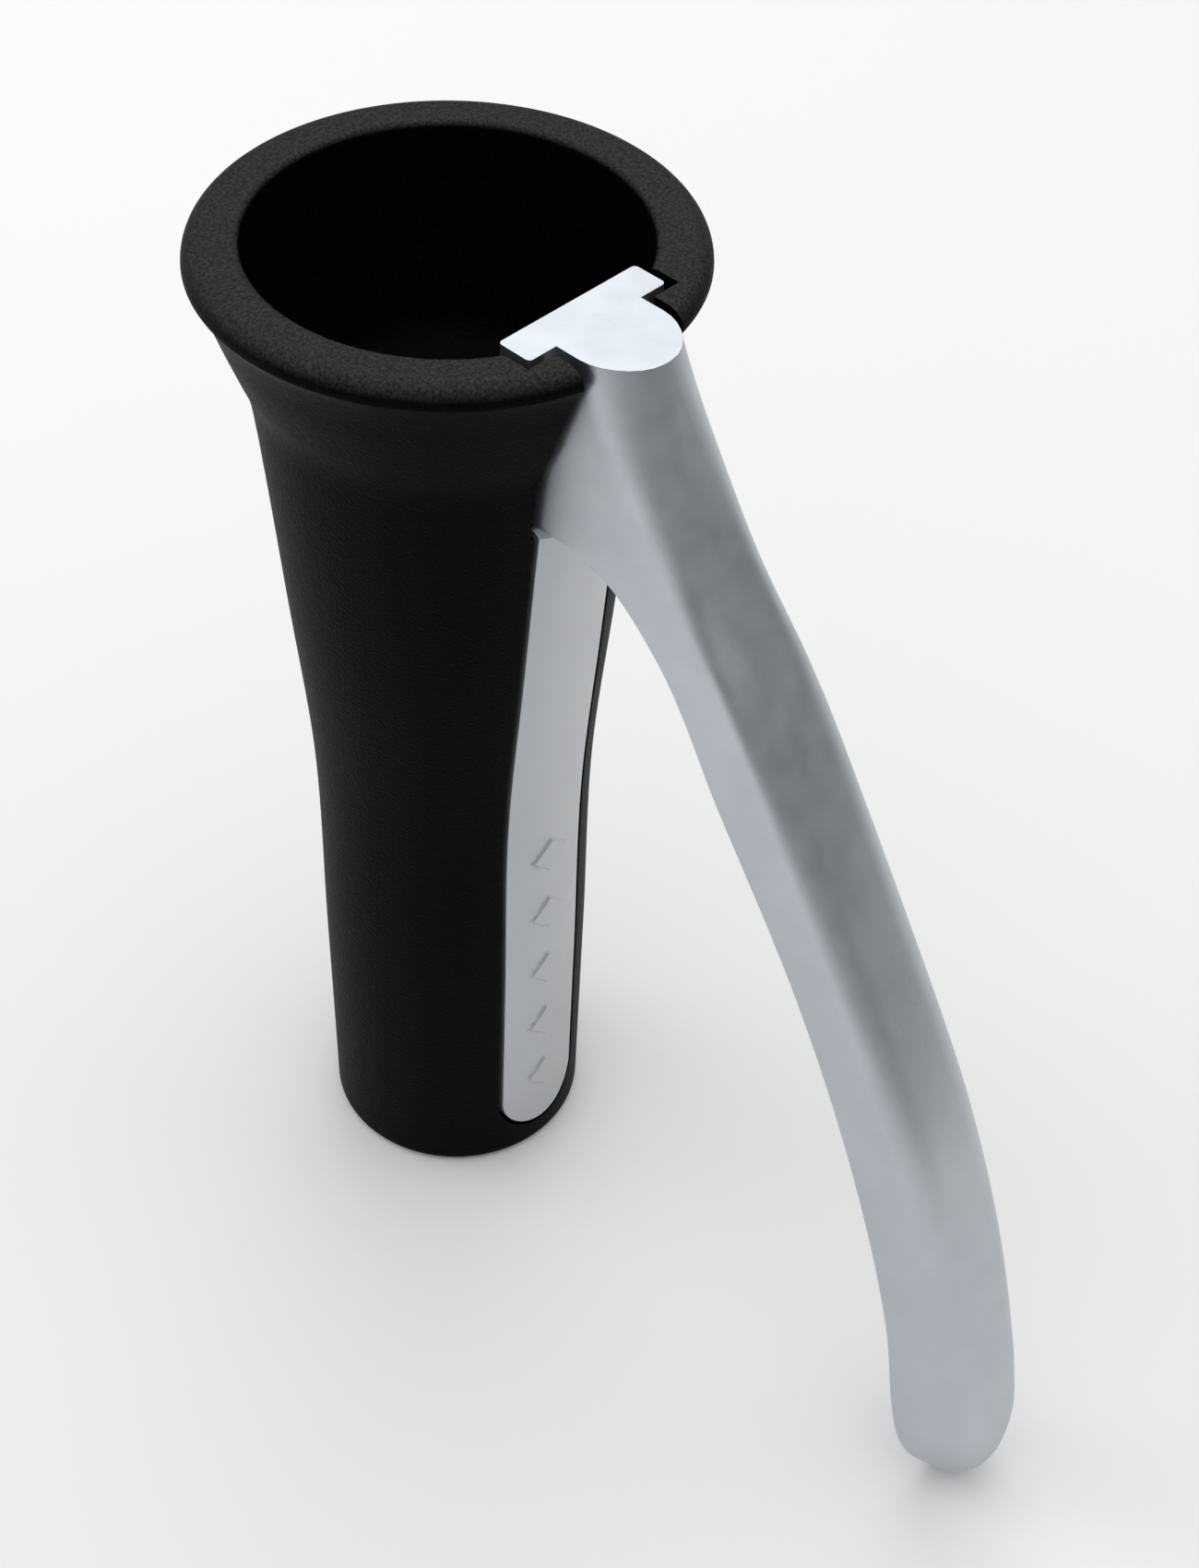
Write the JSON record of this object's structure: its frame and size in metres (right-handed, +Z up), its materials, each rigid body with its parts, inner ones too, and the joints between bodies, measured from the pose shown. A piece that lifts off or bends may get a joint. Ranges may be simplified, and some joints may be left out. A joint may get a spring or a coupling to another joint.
{
  "type": "nutcracker",
  "caption": "Hand-held nutcracker: a bell-topped hollow handle with a nut cup in its rim, an inlaid front strip and a curved lever whose jaw swings into the cup.",
  "frame": {"origin": "centre of the handle's base, on the surface that it stands on", "axes": "+Z up along the handle's axis, +X from the handle towards the lever, which swings in the XZ plane"},
  "size_m": [0.1408, 0.065, 0.158],
  "materials": {
    "black_coat": "satin",
    "satin_strip": "satin",
    "satin_casting": "satin",
    "steel": "satin",
    "black_plastic": "matte",
    "rubber": "matte"
  },
  "bodies": {
    "handle": {"body_casting": "black_coat", "front_strip": "satin_strip", "strip_studs": "steel", "strip_push_nuts": "steel", "base_plug": "black_plastic", "base_screw": "steel", "foot_pad": "rubber"},
    "lever": {"lever": "satin_casting"}
  },
  "joints": [
    {"name": "lever_hinge", "type": "hinge", "parent": "handle", "child": "lever", "pos_m": [0.023, 0, 0.15535], "axis": [0, 1, 0], "range_deg": [0, 15]}
  ]
}
